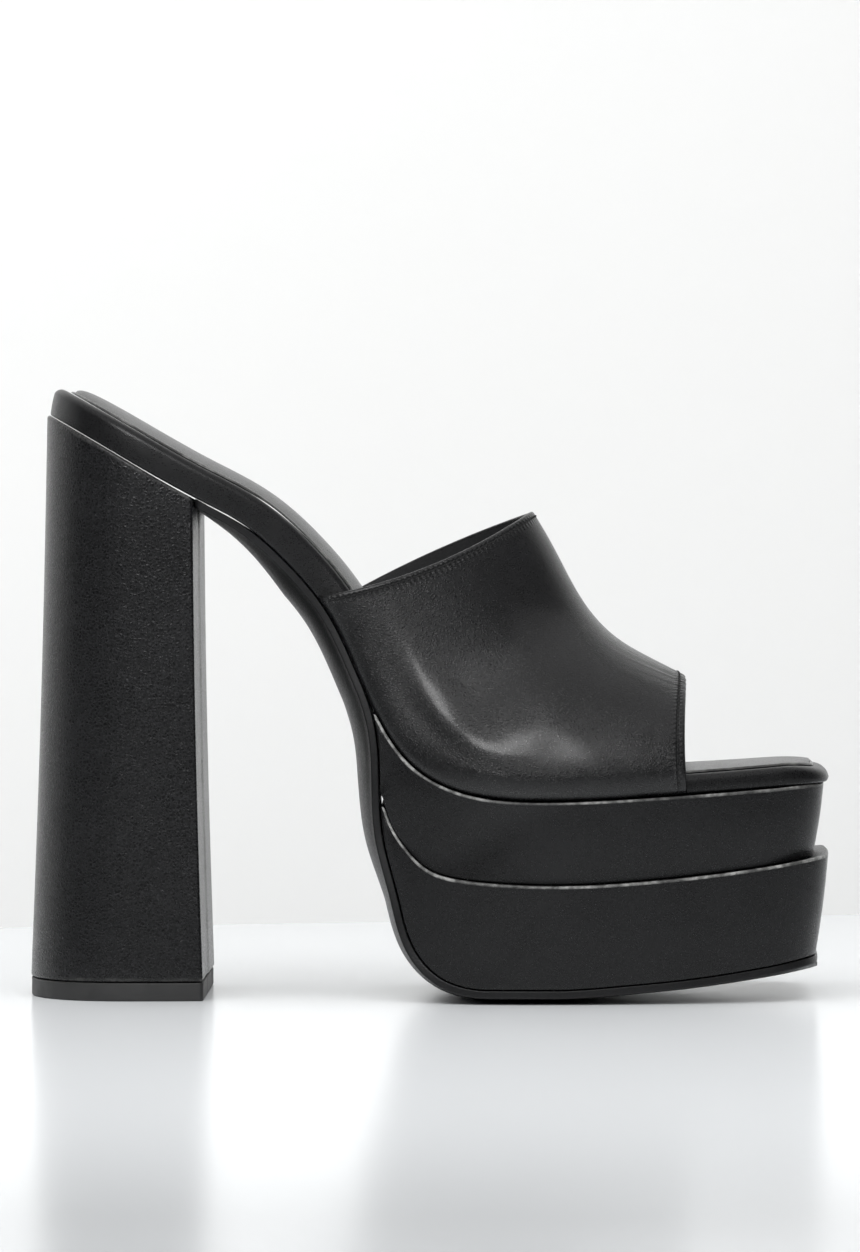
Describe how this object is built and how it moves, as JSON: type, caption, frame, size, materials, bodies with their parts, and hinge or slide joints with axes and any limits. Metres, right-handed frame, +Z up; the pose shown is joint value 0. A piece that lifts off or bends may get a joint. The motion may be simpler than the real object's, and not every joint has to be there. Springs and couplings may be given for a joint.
{
  "type": "block heel shoe",
  "caption": "High block-heel mule with a stepped double platform, a wide band over the instep and a square open toe, for a right foot",
  "frame": {"origin": "on the floor, under the middle of the shoe's bounding box", "axes": "+X from the heel to the toe, +Y to the inner (medial) side of a right foot, +Z up"},
  "size_m": [0.2224, 0.0916, 0.1676],
  "materials": {
    "cover": "satin, fine grain",
    "lining": "satin",
    "rubber": "matt"
  },
  "bodies": {
    "root": {"top_piece": "rubber", "heel": "cover", "outsole": "rubber", "lower_platform": "cover", "upper_platform": "cover", "footbed": "cover", "sock": "lining", "upper": "cover"}
  },
  "joints": []
}
